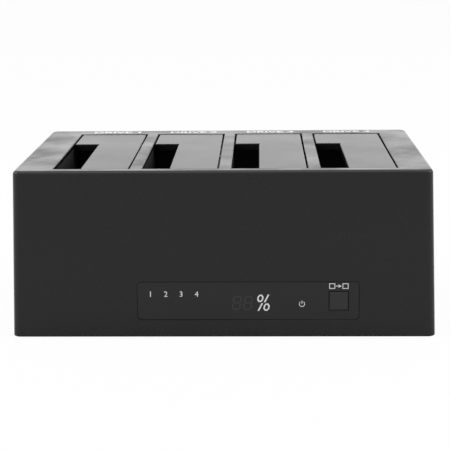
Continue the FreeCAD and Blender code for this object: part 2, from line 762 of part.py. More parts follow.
def power_jack_pin():
    """The centre pin, turned in one piece with a thicker root that sits in the housing."""
    root = socket_face_y - jack_depth + 2
    start = socket_face_y - jack_bore_depth
    tip = start + 2 * jack_root_step
    outline = [(0, root), (jack_pin_root_radius, root), (jack_pin_root_radius, start + jack_root_step),
               (jack_pin_radius, tip), (jack_pin_radius, tip + jack_pin_length), (0, tip + jack_pin_length)]
    corners = [Vector(r, y, 0) for r, y in outline]
    pin = Part.Face(Part.makePolygon(corners + corners[:1])).revolve(Vector(0, 0, 0), Vector(0, 1, 0), 360)
    pin.translate(Vector(jack_x, 0, board_top_z + jack_axis_height))
    return pin


def power_switch_body():
    """A latching push switch on the main board, with a square hole for its stem."""
    y1 = inner_rear_y - push_body_inset
    body = block(push_x - push_body / 2, push_x + push_body / 2, y1 - push_body_depth, y1,
                 board_top_z, board_top_z + push_axis_height + push_body / 2)
    half = push_stem / 2 + 0.2
    axis_z = board_top_z + push_axis_height
    return cut(body, [block(push_x - half, push_x + half, y1 - push_travel - 3.2, y1 + 1,
                            axis_z - half, axis_z + half)])


def power_button():
    """The round cap on the switch's square stem."""
    axis_z = board_top_z + push_axis_height
    end = rear_y + push_cap_proud
    cap = rod(push_cap_radius, push_x, end - push_cap_length, axis_z, (0, 1, 0), push_cap_length)
    face = [e for e in cap.Edges if all(abs(v.Y - end) < 1e-6 for v in e.Vertexes)]
    cap = cap.makeChamfer(0.5, face)
    half = push_stem / 2
    stem = block(push_x - half, push_x + half, inner_rear_y - push_body_inset - 3.0, end - push_cap_length + 1,
                 axis_z - half, axis_z + half)
    return fused([cap, stem])


# ---- Front panel ----------------------------------------------------------------------------------------
def front_panel():
    """The smoked lens, with the hole for the copy button."""
    lens = rounded_plate(panel_left + panel_gap, panel_right - panel_gap, lens_front_y, lens_back_y,
                         panel_bottom + panel_gap, panel_top - panel_gap, panel_radius - panel_gap, 1)
    half = button_size / 2 + button_gap
    return cut(lens, [block(button_x - half, button_x + half, lens_front_y - 1, lens_back_y + 1,
                            button_z - half, button_z + half)])


def front_circuit_board():
    board = block(panel_left - front_board_margin, panel_right + front_board_margin,
                  front_board_y, front_board_back_y,
                  panel_bottom - front_board_drop, panel_top + front_board_margin)
    return cut(board, [small_rod(stake_radius + 0.1, x, front_board_y - 1, z, (0, 1, 0), front_board_thickness + 2)
                       for x, z in stake_places()])


def lamp_block():
    """A black frame between the lens and the lamps, with one hole for each lamp."""
    half = lamp_window / 2
    frame = block(lamp_x[0] - half, lamp_x[-1] + half, lens_back_y, front_board_y, lamp_z - half, lamp_z + half)
    hole = lamp_size / 2 + 0.3
    return cut(frame, [block(x - hole, x + hole, lens_back_y - 1, front_board_y + 1, lamp_z - hole, lamp_z + hole)
                       for x in lamp_x])


def status_lamps():
    """Four bay lamps and the power lamp."""
    half = lamp_size / 2
    places = [(x, lamp_z) for x in lamp_x] + [(power_lamp_x, power_lamp_z)]
    return Part.makeCompound([block(x - half, x + half, front_board_y - lamp_height, front_board_y,
                                    z - half, z + half) for x, z in places])


def number_display():
    """The display block behind the lens."""
    return block(display_left, display_right, lens_back_y, front_board_y, display_bottom, display_top)


def copy_button():
    """A square key with a flange that the lens holds in."""
    half = button_size / 2
    face_y = front_y - button_proud
    key = block(button_x - half, button_x + half, face_y, lens_back_y + button_flange_thickness,
                button_z - half, button_z + half)
    key = key.makeFillet(0.5, edges_along(key, 1))
    key = key.makeChamfer(0.3, [e for e in key.Edges if all(abs(v.Y - face_y) < 1e-6 for v in e.Vertexes)])
    wide = half + button_flange
    flange = block(button_x - wide, button_x + wide, lens_back_y + plunger_play,
                   lens_back_y + button_flange_thickness, button_z - wide, button_z + wide)
    return fused([key, flange])


def copy_switch():
    """A flat tactile switch on the front board, hollow under its plunger."""
    half = switch_size / 2
    body = block(button_x - half, button_x + half, front_board_y - switch_height, front_board_y,
                 button_z - half, button_z + half)
    well_depth = switch_height - 0.1
    return cut(body, [small_rod(plunger_radius + plunger_play, button_x, front_board_y - switch_height - 1,
                                button_z, (0, 1, 0), 1 + well_depth)])


def copy_switch_plunger():
    start = lens_back_y + button_flange_thickness
    end = front_board_y - 0.1 - button_travel - 0.05
    return small_rod(plunger_radius, button_x, start, button_z, (0, 1, 0), end - start)


def board_link():
    """The pin strip between the two boards: a moulded bar with pins that lie on both."""
    pin = link_pitch / 2
    x0 = gap_x(2) - link_pins * link_pitch / 2
    y0 = front_board_back_y
    parts = [block(x0, x0 + link_pins * link_pitch, y0, y0 + link_bar, board_top_z, board_top_z + link_bar)]
    for n in range(link_pins):
        x = x0 + n * link_pitch + pin / 2
        parts.append(block(x, x + pin, y0 + link_bar / 2, y0 + link_bar + 1.5, board_top_z, board_top_z + pin / 2))
        parts.append(block(x, x + pin, y0, y0 + pin / 2, board_top_z + link_bar / 2, board_top_z + link_bar + 1.5))
    return fused(parts)


# ---- Screws ---------------------------------------------------------------------------------------------
def pan_screw(x, y, z, way, length):
    """A pan head screw whose head bears at z; way is 1 with the shank up, or -1 with it down."""
    head = small_rod(screw_head_radius - 0.2, x, y, z, (0, 0, -way), screw_head_height - 0.1)
    return fused([head, small_rod(pilot_radius, x, y, z - 0.1 * way, (0, 0, way), length)])


def base_screws():
    return Part.makeCompound([pan_screw(x, y, base_z + screw_head_height, 1, 9.0)
                              for x in (-column_x, column_x) for y in column_y])


def well_screws():
    z = boss_end_z - flange_thickness
    return Part.makeCompound([pan_screw(bay_left(bay) + bay_width / 2, boss_y, z, 1,
                                        flange_thickness + boss_length - 2.5) for bay in range(bay_count)])


def board_screws():
    return Part.makeCompound([pan_screw(x, y, board_top_z, -1, board_thickness + standoff_height)
                              for x, y in board_screw_places()])


# ---- All pieces -----------------------------------------------------------------------------------------
def all_pieces():
    pieces = {
        "outer_housing": outer_housing(),
        "base_cover": base_cover(),
        "rubber_feet": rubber_feet(),
        "main_circuit_board": main_circuit_board(),
        "sata_contacts": sata_contacts(),
        "control_chips": control_chips(),
        "power_coils": power_coils(),
        "capacitors": capacitors(),
        "usb_socket_shell": usb_socket_shell(),
        "usb_socket_core": usb_socket_core(),
        "power_jack_housing": power_jack_housing(),
        "power_jack_pin": power_jack_pin(),
        "power_switch_body": power_switch_body(),
        "power_button": power_button(),
        "front_panel": front_panel(),
        "front_circuit_board": front_circuit_board(),
        "lamp_block": lamp_block(),
        "status_lamps": status_lamps(),
        "number_display": number_display(),
        "copy_button": copy_button(),
        "copy_switch": copy_switch(),
        "copy_switch_plunger": copy_switch_plunger(),
        "board_link": board_link(),
        "base_screws": base_screws(),
        "well_screws": well_screws(),
        "board_screws": board_screws(),
    }
    repeated = {"drive_well": drive_well(), "bay_flap": bay_flap(), "hinge_pin": hinge_pin(),
                "flap_spring": flap_spring(), "sata_connector": sata_connector()}
    for name, shape in repeated.items():
        for bay in range(bay_count):
            pieces[f"{name}_{bay + 1}"] = in_bay(shape, bay)
    return pieces


os.makedirs("parts", exist_ok=True)
for name, shape in all_pieces().items():
    shape.exportStep(f"parts/{name}.step")
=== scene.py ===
import bmesh
import bpy
import math
from mathutils import Matrix, Vector


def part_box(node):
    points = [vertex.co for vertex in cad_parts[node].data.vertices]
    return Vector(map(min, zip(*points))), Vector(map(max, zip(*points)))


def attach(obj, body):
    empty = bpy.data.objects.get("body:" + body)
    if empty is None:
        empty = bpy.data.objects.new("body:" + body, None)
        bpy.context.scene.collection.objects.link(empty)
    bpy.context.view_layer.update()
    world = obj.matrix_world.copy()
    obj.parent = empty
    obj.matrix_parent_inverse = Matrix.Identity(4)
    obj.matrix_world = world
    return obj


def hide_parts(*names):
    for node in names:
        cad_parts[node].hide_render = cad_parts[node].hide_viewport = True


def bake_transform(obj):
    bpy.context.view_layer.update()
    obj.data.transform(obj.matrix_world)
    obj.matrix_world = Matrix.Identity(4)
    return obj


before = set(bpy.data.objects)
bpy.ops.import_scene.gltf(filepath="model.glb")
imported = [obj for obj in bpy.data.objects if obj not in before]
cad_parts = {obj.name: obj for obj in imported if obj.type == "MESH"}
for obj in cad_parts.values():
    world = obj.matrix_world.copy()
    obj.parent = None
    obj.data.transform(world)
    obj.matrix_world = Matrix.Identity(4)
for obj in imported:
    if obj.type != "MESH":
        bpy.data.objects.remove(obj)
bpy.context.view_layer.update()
MM = 0.001

# ---- Casing ------------------------------------------------------------------------------------------
# One ABS moulding makes the front, rear, sides and top, spark-textured to a fine satin grain in the tool.
# The drive wells hang from bosses under its top, and the base closes it from below.


def feed(tree, socket, value):
    """Gives an input its value, which is another node's output or a constant."""
    if isinstance(value, bpy.types.NodeSocket):
        tree.links.new(value, socket)
    else:
        socket.default_value = value


def maths(tree, operation, *values, clamp=False):
    """The output of a Math node."""
    node = tree.nodes.new("ShaderNodeMath")
    node.operation = operation
    node.use_clamp = clamp
    for socket, value in zip(node.inputs, values):
        feed(tree, socket, value)
    return node.outputs[0]


def noise(tree, place, scale, detail, roughness=0.5):
    """The value of a Noise Texture, with its scale in lumps per metre."""
    texture = tree.nodes.new("ShaderNodeTexNoise")
    for name, value in (("Vector", place), ("Scale", scale), ("Detail", detail), ("Roughness", roughness)):
        feed(tree, texture.inputs[name], value)
    return texture.outputs["Fac"]


def drifting(tree, value, swing, middle):
    """A level that swings about its middle as a value goes from 0 to 1."""
    return maths(tree, "MULTIPLY_ADD", maths(tree, "SUBTRACT", value, 0.5), swing, middle, clamp=True)


def effect_group(name, inputs, outputs):
    """A new node group, with the sockets inside it for its inputs and outputs, and Object coordinates."""
    group = bpy.data.node_groups.new(name, "ShaderNodeTree")
    for label, value in inputs:
        kind = "NodeSocketFloat" if isinstance(value, float) else "NodeSocketVector"
        group.interface.new_socket(label, in_out="INPUT", socket_type=kind).default_value = value
    for label in outputs:
        group.interface.new_socket(label, in_out="OUTPUT", socket_type="NodeSocketFloat")
    given, wanted = group.nodes.new("NodeGroupInput").outputs, group.nodes.new("NodeGroupOutput").inputs
    return group, given, wanted, group.nodes.new("ShaderNodeTexCoord").outputs["Object"]


def grain_group():
    """Moulded plastic: a fine grain to stand up, and a slow drift in gloss and shade."""
    group, given, wanted, place = effect_group(
        "moulded_grain",
        (("Grain size", 0.3 * MM), ("Drift size", 18 * MM), ("Roughness", 0.4), ("Gloss drift", 0.1)),
        ("Height", "Roughness", "Drift"))
    grain = noise(group, place, maths(group, "DIVIDE", 1, given["Grain size"]), 2, 0.6)
    drift = noise(group, place, maths(group, "DIVIDE", 1, given["Drift size"]), 3, 0.55)
    feed(group, wanted["Height"], grain)
    feed(group, wanted["Drift"], drift)
    feed(group, wanted["Roughness"], drifting(group, drift, given["Gloss drift"], given["Roughness"]))
    return group


moulded_grain = grain_group()


def plain(name, colour, roughness, metallic=0.0, ior=1.5):
    """A material with nothing on it yet but its own colour and gloss."""
    material = bpy.data.materials.new(name)
    material.use_nodes = True
    surface = material.node_tree.nodes["Principled BSDF"]
    surface.inputs["Base Color"].default_value = (*colour, 1)
    surface.inputs["Roughness"].default_value = roughness
    surface.inputs["Metallic"].default_value = metallic
    surface.inputs["IOR"].default_value = ior
    return material


def add_effect(material, group, values):
    """Places a node group in a material with its own values, and gives its outputs."""
    node = material.node_tree.nodes.new("ShaderNodeGroup")
    node.node_tree = group
    for name, value in values:
        node.inputs[name].default_value = value
    return node.outputs


def feed_surface(material, **values):
    """Links outputs to a material's surface, by the names of its inputs with _ for a space."""
    surface = material.node_tree.nodes["Principled BSDF"]
    for name, value in values.items():
        material.node_tree.links.new(value, surface.inputs[name.replace("_", " ")])


def raise_relief(material, height, depth):
    """Makes a height stand up by a depth in metres."""
    relief = material.node_tree.nodes.new("ShaderNodeBump")
    relief.inputs["Strength"].default_value = 1
    relief.inputs["Distance"].default_value = depth
    feed(material.node_tree, relief.inputs["Height"], height)
    feed_surface(material, Normal=relief.outputs["Normal"])


def blend_colours(material, factor, low, high):
    """A colour that goes from low to high with the factor."""
    shade = material.node_tree.nodes.new("ShaderNodeMix")
    shade.data_type = "RGBA"
    shade.inputs["A"].default_value = (*low, 1)
    shade.inputs["B"].default_value = (*high, 1)
    feed(material.node_tree, shade.inputs["Factor"], factor)
    return shade.outputs["Result"]


def grained(name, colour, roughness, grain=0.3 * MM, depth=0.02 * MM, drift=18 * MM, gloss_drift=0.1,
            shade_drift=0.15, ior=1.5):
    """A moulded plastic with grain, and with shade and gloss that drift a little over the surface."""
    material = plain(name, colour, roughness, ior=ior)
    skin = add_effect(material, moulded_grain, (("Grain size", grain), ("Drift size", drift),
                                                ("Roughness", roughness), ("Gloss drift", gloss_drift)))
    raise_relief(material, skin["Height"], depth)
    dark, light = [c * (1 - shade_drift) for c in colour], [c * (1 + shade_drift) for c in colour]
    feed_surface(material, Roughness=skin["Roughness"],
                 Base_Color=blend_colours(material, skin["Drift"], dark, light))
    return material


def cover(node, material):
    """Gives a piece of the frame its finish."""
    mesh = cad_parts[node].data
    mesh.materials.clear()
    mesh.materials.append(material)


def mesh_from(form, name):
    """Turns a finished bmesh into a mesh."""
    mesh = bpy.data.meshes.new(name)
    form.to_mesh(mesh)
    form.free()
    return mesh


def in_scene(name, data):
    """Puts a new object with some data in the scene."""
    thing = bpy.data.objects.new(name, data)
    bpy.context.scene.collection.objects.link(thing)
    return thing


def piece_from(form, name, material, body, node=None, crease=40):
    """Turns a finished bmesh into a named piece, which rides on a body if one is given."""
    mesh = mesh_from(form, name)
    mesh.shade_smooth()
    mesh.set_sharp_from_angle(angle=math.radians(crease))
    mesh.materials.append(material)
    piece = in_scene(name, mesh)
    if body:
        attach(piece, body)
    if node:
        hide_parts(node)
    return piece


def welded_copy(node):
    """A bmesh of a frame piece with the corners of its loose triangles joined."""
    form = bmesh.new()
    form.from_mesh(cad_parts[node].data)
    bmesh.ops.remove_doubles(form, verts=form.verts, dist=0.002 * MM)
    return form


def merged_copy(node):
    """A welded copy of a frame piece whose flat faces are whole."""
    form = welded_copy(node)
    bmesh.ops.dissolve_limit(form, angle_limit=math.radians(0.5), verts=form.verts, edges=form.edges)
    return form


def moulding(node, name, material, body, crease=50, form=None):
    """A piece that replaces a node of the frame, with its chamfers shaded as a moulding's soft edges."""
    piece = piece_from(form or merged_copy(node), name, material, body, node, crease)
    soft = piece.modifiers.new("soft_edges", "WEIGHTED_NORMAL")
    soft.keep_sharp = True
    soft.weight = 100


casing_plastic = grained("casing_plastic", (0.0085, 0.0085, 0.0088), 0.25, grain=0.35 * MM, depth=0.006 * MM,
                         drift=22 * MM, gloss_drift=0.5, shade_drift=0.1, ior=1.36)
casing_low, casing_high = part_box("outer_housing")
foot_roll = 0.4 * MM
rim_radius = 1.8 * MM
corner_radius, wider_radius = 3.6 * MM, 4.1 * MM
wall_corner = 1 * MM             # every arc in the walls is wider than this
side_draft = math.radians(2)
close_by = 0.02 * MM


def widen_corners(form):
    """Moves the arcs of the casing's four upright corners to a wider radius, about centres further in."""
    gain = wider_radius - corner_radius
    for vert in form.verts:
        rise = min(vert.co.z, casing_high.z - rim_radius) - casing_low.z
        centre = Vector((casing_high.x - corner_radius - rise * math.tan(side_draft),
                         casing_high.y - corner_radius))
        out = Vector((abs(vert.co.x), abs(vert.co.y))) - centre
        if min(out) > -close_by and out.length > wall_corner:
            spot = centre + out - Vector((gain, gain)) + out.normalized() * gain
            vert.co.x, vert.co.y = math.copysign(spot.x, vert.co.x), math.copysign(spot.y, vert.co.y)


def rounded_casing():
    """The casing with wider corners, and with the outer edge that it would stand on rounded."""
    form = merged_copy("outer_housing")
    widen_corners(form)

    def faces_out(edge):
        middle = (edge.verts[0].co + edge.verts[1].co).to_2d().to_3d()
        return any(face.normal.dot(middle) > casing_high.y / 2 for face in edge.link_faces)

    rim = [e for e in form.edges if all(v.co.z < casing_low.z + 0.01 * MM for v in e.verts) and faces_out(e)]
    bmesh.ops.bevel(form, geom=rim, offset=foot_roll, offset_type="OFFSET", segments=3, profile=0.5,
                    affect="EDGES", material=-1)
    return form


moulding("outer_housing", "outer_casing", casing_plastic, "casing", form=rounded_casing())

# ---- Bay legends -------------------------------------------------------------------------------------
# White pad-printed numbers of the bays on the top, behind each opening.
BAYS = 4
white_ink = grained("white_ink", (0.80, 0.80, 0.79), 0.55, grain=0.12 * MM, depth=0.004 * MM,
                    gloss_drift=0.05, shade_drift=0.04)
print_height = 0.03 * MM
legend_height, legend_width, legend_weight = 4.8 * MM, 26 * MM, 0.03


def finished_mesh(holder):
    """The mesh of an object as its text or its modifiers make it."""
    bpy.context.view_layer.update()
    return bpy.data.meshes.new_from_object(holder.evaluated_get(bpy.context.evaluated_depsgraph_get()))


def box_of(verts):
    """The lowest and highest corners of some vertices."""
    return (Vector([min(v.co[axis] for v in verts) for axis in range(3)]),
            Vector([max(v.co[axis] for v in verts) for axis in range(3)]))


def lettering(words, height, width=None, weight=0.0):
    """Flat words as a bmesh, centred on the origin and facing +Z, of a height and maybe of a width."""
    curve = bpy.data.curves.new("words", "FONT")
    curve.body = words
    curve.offset = weight
    curve.resolution_u = 4
    holder = in_scene("words", curve)
    mesh = finished_mesh(holder)
    form = bmesh.new()
    form.from_mesh(mesh)
    bpy.data.objects.remove(holder)
    bpy.data.curves.remove(curve)
    bpy.data.meshes.remove(mesh)
    low, high = box_of(form.verts)
    tall = height / (high.y - low.y)
    wide = width / (high.x - low.x) if width else tall
    bmesh.ops.translate(form, verts=form.verts, vec=-(low + high) / 2)
    bmesh.ops.scale(form, verts=form.verts, vec=(wide, tall, 1))
    return form


def join(target, part, place):
    """Adds one bmesh to another, in a new place."""
    part.transform(place)
    mesh = mesh_from(part, "joined")
    target.from_mesh(mesh)
    bpy.data.meshes.remove(mesh)


def printed(form, name, ink):
    """Gives flat marks the thickness of their ink, down to what they are printed on."""
    bmesh.ops.solidify(form, geom=form.faces[:], thickness=print_height)
    piece_from(form, name, ink, "casing")


flap_boxes = [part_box(f"bay_flap_{bay + 1}") for bay in range(BAYS)]
stop_tab_reach = 1.6 * MM        # what a flap's box has under the rim on its left
legend_y = (flap_boxes[0][1].y + casing_high.y) / 2
legends = bmesh.new()
for bay, (low, high) in enumerate(flap_boxes):
    middle = (low.x + stop_tab_reach + high.x) / 2
    join(legends, lettering(f"DRIVE {bay + 1}", legend_height, legend_width, legend_weight),
         Matrix.Translation((middle, legend_y, casing_high.z + print_height)))
printed(legends, "bay_legends", white_ink)

# ---- Drive wells -------------------------------------------------------------------------------------
# Separate black mouldings that guide a drive down to its connector. Their walls carry the flaps' pins.
well_plastic = grained("well_plastic", (0.020, 0.020, 0.0205), 0.5, grain=0.4 * MM, depth=0.01 * MM,
                       gloss_drift=0.08)
for bay in range(BAYS):
    moulding(f"drive_well_{bay + 1}", f"well_moulding_{bay + 1}", well_plastic, "casing", crease=35)

# ---- Flaps -------------------------------------------------------------------------------------------
# L-shaped ABS flaps, finer and more even in finish than the casing. Each swings down into its well.
flap_plastic = grained("flap_plastic", (0.0085, 0.0085, 0.0088), 0.25, grain=0.25 * MM, depth=0.004 * MM,
                       drift=30 * MM, gloss_drift=0.1, shade_drift=0.1, ior=1.36)
for bay in range(BAYS):
    moulding(f"bay_flap_{bay + 1}", f"flap_moulding_{bay + 1}", flap_plastic, f"flap_{bay + 1}")

# ---- Hinge pins --------------------------------------------------------------------------------------
# Drawn steel pins, blackened so that they don't glint in the gaps beside the flaps. They are pushed in from
# the front through the well's ears and the flap's two knuckles.


def metal_group():
    """Worked metal: fine lines along the work, and a slow change in gloss and tarnish."""
    group, given, wanted, place = effect_group(
        "worked_metal",
        (("Lines per metre", (4000, 300, 4000)), ("Roughness", 0.3), ("Line gloss", 0.15),
         ("Tarnish size", 4 * MM)),
        ("Height", "Roughness", "Tarnish"))
    stretch = group.nodes.new("ShaderNodeVectorMath")
    stretch.operation = "MULTIPLY"
    feed(group, stretch.inputs[0], place)
    feed(group, stretch.inputs[1], given["Lines per metre"])
    lines = noise(group, stretch.outputs[0], 1, 3)
    feed(group, wanted["Height"], lines)
    feed(group, wanted["Roughness"], drifting(group, lines, given["Line gloss"], given["Roughness"]))
    feed(group, wanted["Tarnish"], noise(group, place, maths(group, "DIVIDE", 1, given["Tarnish size"]), 4))
    return group


worked_metal = metal_group()


def metal(name, colour, roughness, lines=(3000, 3000, 3000), line_gloss=0.12, depth=0.002 * MM,
          tarnish=0.12, tarnish_size=4 * MM):
    """A bare or plated metal with the lines of its making and a trace of tarnish."""
    material = plain(name, colour, roughness, metallic=1)
    skin = add_effect(material, worked_metal, (("Lines per metre", lines), ("Roughness", roughness),
                                               ("Line gloss", line_gloss), ("Tarnish size", tarnish_size)))
    raise_relief(material, skin["Height"], depth)
    tarnished = [c * (1 - 2 * tarnish) for c in colour]
    feed_surface(material, Roughness=skin["Roughness"],
                 Base_Color=blend_colours(material, skin["Tarnish"], colour, tarnished))
    return material


pin_steel = metal("pin_steel", (0.055, 0.055, 0.058), 0.4, lines=(6000, 200, 6000))
for bay in range(BAYS):
    cover(f"hinge_pin_{bay + 1}", pin_steel)

# ---- Torsion springs ---------------------------------------------------------------------------------
# Coils of round music wire on the pins. One leg lies on the well's wall, the other lifts the flap.
spring_steel = metal("spring_steel", (0.45, 0.45, 0.47), 0.3, lines=(2500, 2500, 2500), tarnish=0.2)
wire_radius = 0.25 * MM
wire_sides = 10
turns = 2.25
steps_per_turn = 24


def extruded(form, edges, way):
    """Extrudes some edges, moves the new ones, and leaves the mesh between them."""
    new = bmesh.ops.extrude_edge_only(form, edges=edges)["geom"]
    bmesh.ops.translate(form, verts=[g for g in new if isinstance(g, bmesh.types.BMVert)], vec=way)


def torsion_spring(axis, first_y, last_y, radius, leg):
    """Round wire wound back along a pin from its fixed leg, which hangs down, to its leg under the flap."""
    form = bmesh.new()
    ring = bmesh.ops.create_circle(form, segments=wire_sides, radius=wire_radius)["verts"]
    bmesh.ops.translate(form, verts=ring, vec=(axis.x + radius, first_y, axis.z))
    start = form.edges[:]
    extruded(form, start, (0, 0, -leg))
    steps = int(turns * steps_per_turn)
    coil = bmesh.ops.spin(form, geom=start, cent=(axis.x, first_y, axis.z), axis=(0, -1, 0),
                          dvec=(0, (last_y - first_y) / steps, 0), angle=turns * 2 * math.pi, steps=steps)
    extruded(form, [g for g in coil["geom_last"] if isinstance(g, bmesh.types.BMEdge)], (-leg, 0, 0))
    bmesh.ops.remove_doubles(form, verts=form.verts, dist=0.001 * MM)
    bmesh.ops.holes_fill(form, edges=[e for e in form.edges if e.is_boundary], sides=0)
    bmesh.ops.recalc_face_normals(form, faces=form.faces)
    return form


for bay in range(BAYS):
    pin_low, pin_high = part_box(f"hinge_pin_{bay + 1}")
    wire_low, wire_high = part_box(f"flap_spring_{bay + 1}")
    axis = (pin_low + pin_high) / 2
    coil_radius = wire_high.x - wire_radius - axis.x
    first_y, last_y = wire_high.y - wire_radius, wire_low.y + wire_radius
    spring = piece_from(torsion_spring(axis, first_y, last_y, coil_radius, axis.z - wire_low.z),
                        f"torsion_spring_{bay + 1}", spring_steel, None,
                        f"flap_spring_{bay + 1}", crease=60)
    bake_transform(spring)

# ---- Boards ------------------------------------------------------------------------------------------
# Glass-fibre boards with green solder mask, which shows the copper tracks under it as low ridges.
board_green = (0.006, 0.020, 0.012)
track_green = (0.012, 0.045, 0.026)
tinned_hole = (0.55, 0.54, 0.50, 1)
track_width = 1.3 * MM
track_height = 0.03 * MM
block_size = 14 * MM
hole_pitch = 5 * MM


def board_material():
    """Solder mask over tracks that run straight in blocks, with tinned holes between them."""
    material = plain("solder_mask", board_green, 0.3)
    tree = material.node_tree
    place = tree.nodes.new("ShaderNodeTexCoord").outputs["Object"]

    def waves(direction):
        wave = tree.nodes.new("ShaderNodeTexWave")
        wave.bands_direction = direction
        wave.inputs["Scale"].default_value = 1 / (track_width * 3)
        wave.inputs["Distortion"].default_value = 0
        feed(tree, wave.inputs["Vector"], place)
        return wave.outputs["Fac"]

    def cells(size, distance):
        cell = tree.nodes.new("ShaderNodeTexVoronoi")
        cell.distance = distance
        cell.inputs["Scale"].default_value = 1 / size
        feed(tree, cell.inputs["Vector"], place)
        return cell.outputs

    def stepped(value, low, high):
        step = tree.nodes.new("ShaderNodeMapRange")
        step.inputs["From Min"].default_value = low
        step.inputs["From Max"].default_value = high
        feed(tree, step.inputs["Value"], value)
        return step.outputs["Result"]

    pick = tree.nodes.new("ShaderNodeSeparateColor")
    feed(tree, pick.inputs["Color"], cells(block_size, "CHEBYCHEV")["Color"])
    either = tree.nodes.new("ShaderNodeMix")
    feed(tree, either.inputs["Factor"], stepped(pick.outputs["Red"], 0.499, 0.501))
    feed(tree, either.inputs["A"], waves("X"))
    feed(tree, either.inputs["B"], waves("Y"))
    tracks = stepped(either.outputs["Result"], 0.55, 0.7)
    holes = stepped(cells(hole_pitch, "EUCLIDEAN")["Distance"], 0.10, 0.085)
    raise_relief(material, tracks, track_height)
    masked = tree.nodes.new("ShaderNodeMix")
    masked.data_type = "RGBA"
    masked.inputs["B"].default_value = tinned_hole
    feed(tree, masked.inputs["Factor"], holes)
    feed(tree, masked.inputs["A"], blend_colours(material, tracks, board_green, track_green))
    feed_surface(material, Base_Color=masked.outputs["Result"], Metallic=holes)
    return material


solder_mask = board_material()
for node in ("main_circuit_board", "front_circuit_board"):
    cover(node, solder_mask)

# ---- Drive connectors --------------------------------------------------------------------------------
# Black glass-filled mouldings with L-shaped slots, and gilt spring contacts along one side of each slot.
connector_resin = grained("connector_resin", (0.012, 0.012, 0.013), 0.45, grain=0.2 * MM, depth=0.006 * MM)
gilt = metal("gilt", (0.83, 0.62, 0.24), 0.25, lines=(4000, 4000, 400), tarnish=0.06)
for node in [f"sata_connector_{bay + 1}" for bay in range(BAYS)] + ["board_link"]:
    cover(node, connector_resin)
cover("sata_contacts", gilt)

# ---- Chips -------------------------------------------------------------------------------------------
# Epoxy-cased chips with tinned gull-wing leads, a row on each side of the large ones and on two of the rest.
epoxy = grained("epoxy", (0.015, 0.015, 0.016), 0.5, grain=0.15 * MM, depth=0.008 * MM, drift=6 * MM)
tin = metal("tin", (0.72, 0.72, 0.70), 0.35, tarnish=0.15)
lead_thickness = 0.15 * MM
lead_height = 0.6 * MM
lead_in_chip = 0.2 * MM
large_chip = 8 * MM
bare_corner = 0.6 * MM           # what the rows of leads leave free at each end of a side


def islands(node):
    """The boxes of the separate solids in a frame piece, from left to right, as (low, high) corners."""
    form = welded_copy(node)
    seen, boxes = set(), []
    for start in form.verts:
        if start in seen:
            continue
        seen.add(start)
        group = [start]
        for vert in group:
            for other in [edge.other_vert(vert) for edge in vert.link_edges]:
                if other not in seen:
                    seen.add(other)
                    group.append(other)
        boxes.append(box_of(group))
    form.free()
    return sorted(boxes, key=lambda box: tuple(box[0]))


def chip_lead(reach, height, width):
    """One lead: out from the chip's side, down, and out again along the board, towards +X."""
    form = bmesh.new()
    path = [(-lead_in_chip, height), (0.35 * reach, height), (0.5 * reach, lead_thickness / 2),
            (reach, lead_thickness / 2)]
    corners = [form.verts.new((x, -width / 2, z)) for x, z in path]
    extruded(form, [form.edges.new(pair) for pair in zip(corners, corners[1:])], (0, width, 0))
    bmesh.ops.recalc_face_normals(form, faces=form.faces)
    bmesh.ops.solidify(form, geom=form.faces[:], thickness=lead_thickness)
    return form


leads = bmesh.new()
for low, high in islands("control_chips"):
    middle = (low + high) / 2
    across = (high.x - low.x, high.y - low.y)
    large = across[0] > large_chip
    pitch, width, reach = (0.8 * MM, 0.35 * MM, 0.9 * MM) if large else (1.27 * MM, 0.45 * MM, 1.0 * MM)
    for quarter in ((0, 1, 2, 3) if large else (1, 3)):
        out, along = across if quarter % 2 == 0 else across[::-1]
        count = int((along - 2 * bare_corner) / pitch) + 1
        for n in range(count):
            place = (Matrix.Translation((middle.x, middle.y, low.z))
                     @ Matrix.Rotation(quarter * math.pi / 2, 4, "Z")
                     @ Matrix.Translation((out / 2, (n - (count - 1) / 2) * pitch, 0)))
            join(leads, chip_lead(reach, lead_height, width), place)
cover("control_chips", epoxy)
piece_from(leads, "chip_leads", tin, "casing", crease=30)

# ---- Coils and capacitors ----------------------------------------------------------------------------
# Ferrite-shielded coils, and aluminium cans in shrunk black sleeves with their tops left bare.
ferrite = grained("ferrite", (0.06, 0.06, 0.065), 0.6, grain=0.3 * MM, depth=0.02 * MM, drift=3 * MM)
can_metal = metal("can_metal", (0.72, 0.72, 0.74), 0.3)
sleeve_film = grained("sleeve_film", (0.010, 0.010, 0.014), 0.25, grain=0.5 * MM, depth=0.003 * MM)
film = 0.12 * MM
groove, groove_depth = 1.6 * MM, 0.4 * MM       # the rolled groove over a can's foot
top_edge = 0.2 * MM


def turned(profile, steps=32):
    """A closed shape turned about Z from a profile of (radius, height) points that starts and ends on it."""
    form = bmesh.new()
    corners = [form.verts.new((radius, 0, height)) for radius, height in profile]
    edges = [form.edges.new(pair) for pair in zip(corners, corners[1:])]
    bmesh.ops.spin(form, geom=corners + edges, cent=(0, 0, 0), axis=(0, 0, 1), angle=2 * math.pi, steps=steps,
                   use_merge=True)
    bmesh.ops.remove_doubles(form, verts=form.verts, dist=0.0005 * MM)
    bmesh.ops.recalc_face_normals(form, faces=form.faces)
    return form


